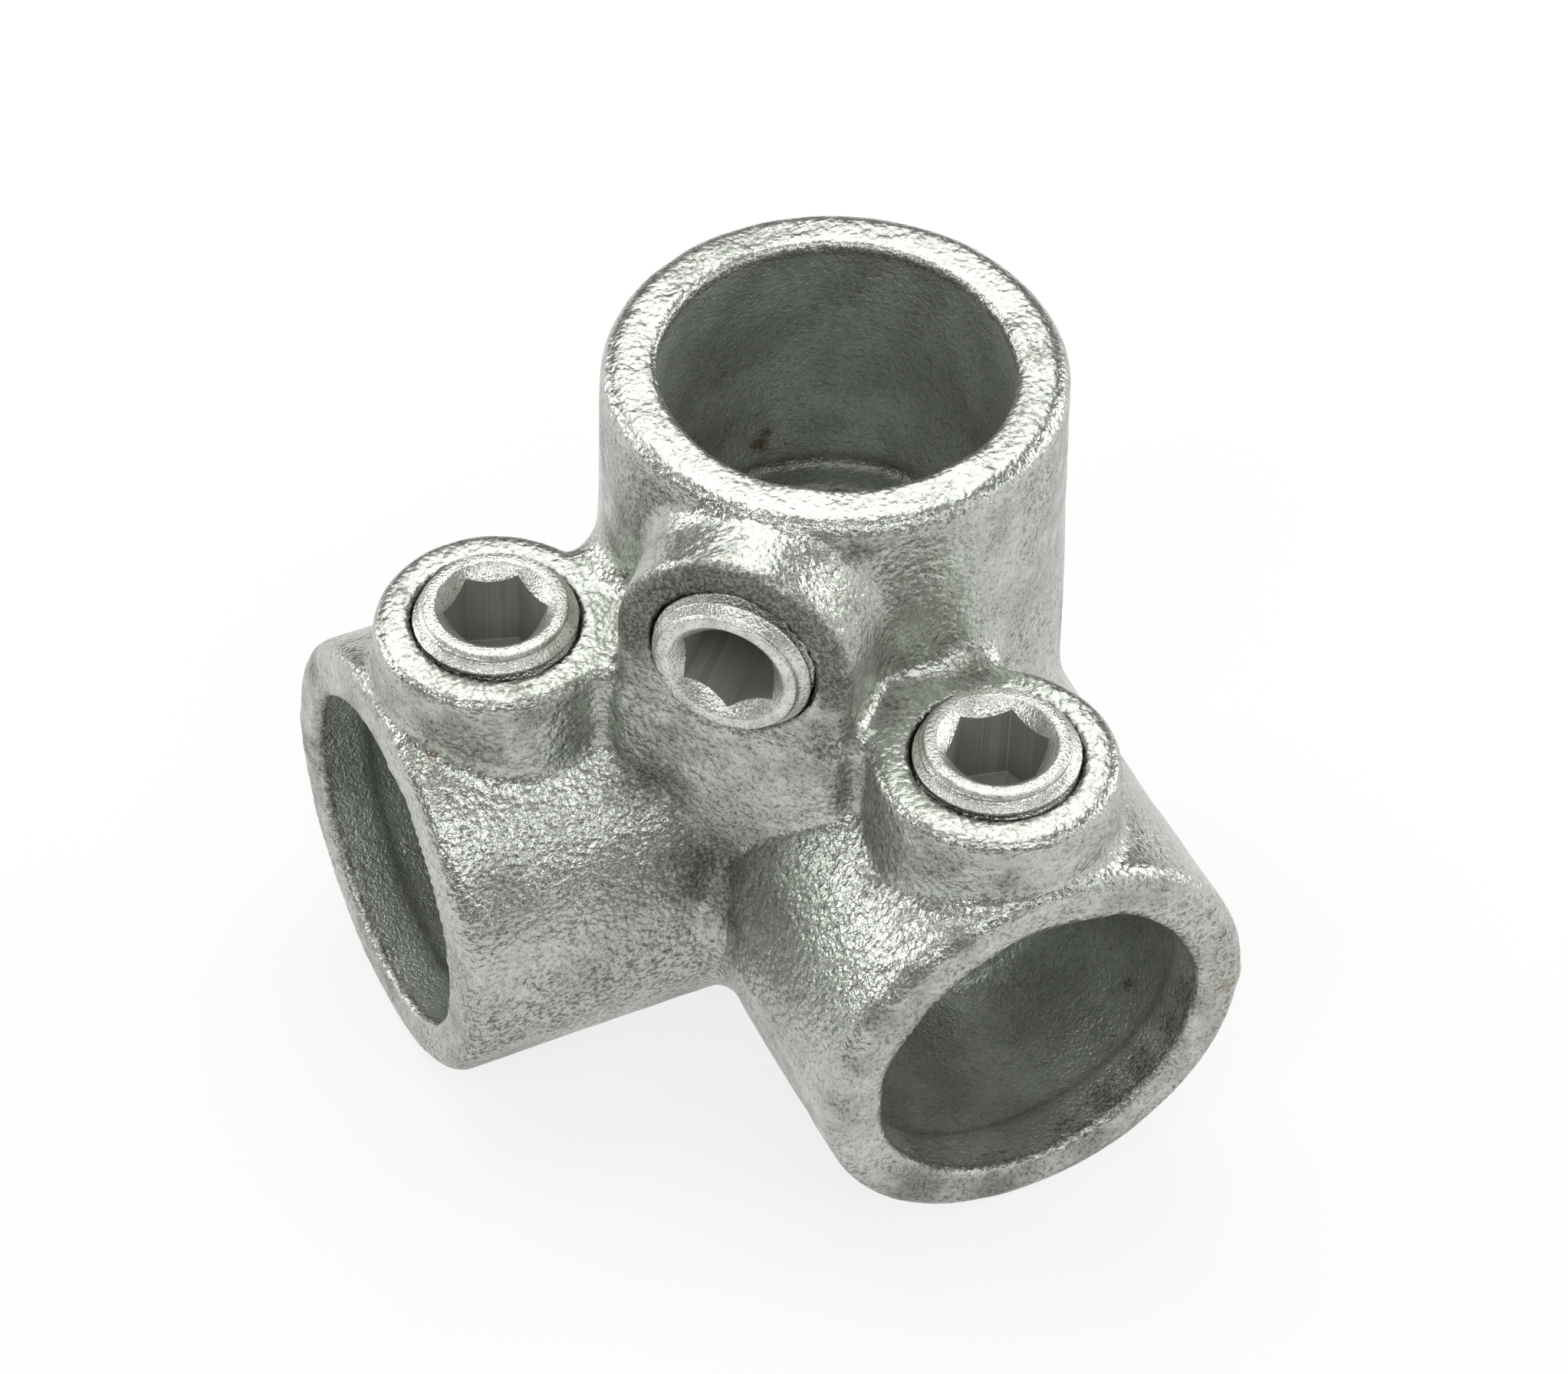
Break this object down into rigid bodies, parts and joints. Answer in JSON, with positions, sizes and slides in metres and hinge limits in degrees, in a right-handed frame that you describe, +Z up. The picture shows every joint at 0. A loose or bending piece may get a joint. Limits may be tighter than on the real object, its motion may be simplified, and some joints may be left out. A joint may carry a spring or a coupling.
{
  "type": "tube clamp corner fitting",
  "caption": "Galvanised cast corner clamp for round tube: sockets at right angles to one another, each locked by a hex-key set screw in a raised boss.",
  "frame": {"origin": "crossing of the axes of the three sockets", "axes": "+X and +Y out of the mouths of the two level sockets, +Z up out of the mouth of the upright socket"},
  "size_m": [0.0587, 0.0587, 0.0577],
  "materials": {
    "galvanised_iron": "hot-dip galvanised, sandy and mottled",
    "plated_steel": "zinc plated, satin"
  },
  "bodies": {
    "clamp": {"casting": "galvanised_iron"},
    "screw_x": {"set_screw_x": "plated_steel"},
    "screw_y": {"set_screw_y": "plated_steel"},
    "screw_upright": {"set_screw_upright": "plated_steel"}
  },
  "joints": [
    {"name": "screw_x_travel", "type": "slide", "parent": "clamp", "child": "screw_x", "axis": [0, 0, 1], "range_m": [-0.003, 0.006]},
    {"name": "screw_y_travel", "type": "slide", "parent": "clamp", "child": "screw_y", "axis": [0, 0, 1], "range_m": [-0.003, 0.006]},
    {"name": "screw_upright_travel", "type": "slide", "parent": "clamp", "child": "screw_upright", "axis": [0.7071, 0.7071, 0], "range_m": [-0.003, 0.006]}
  ]
}
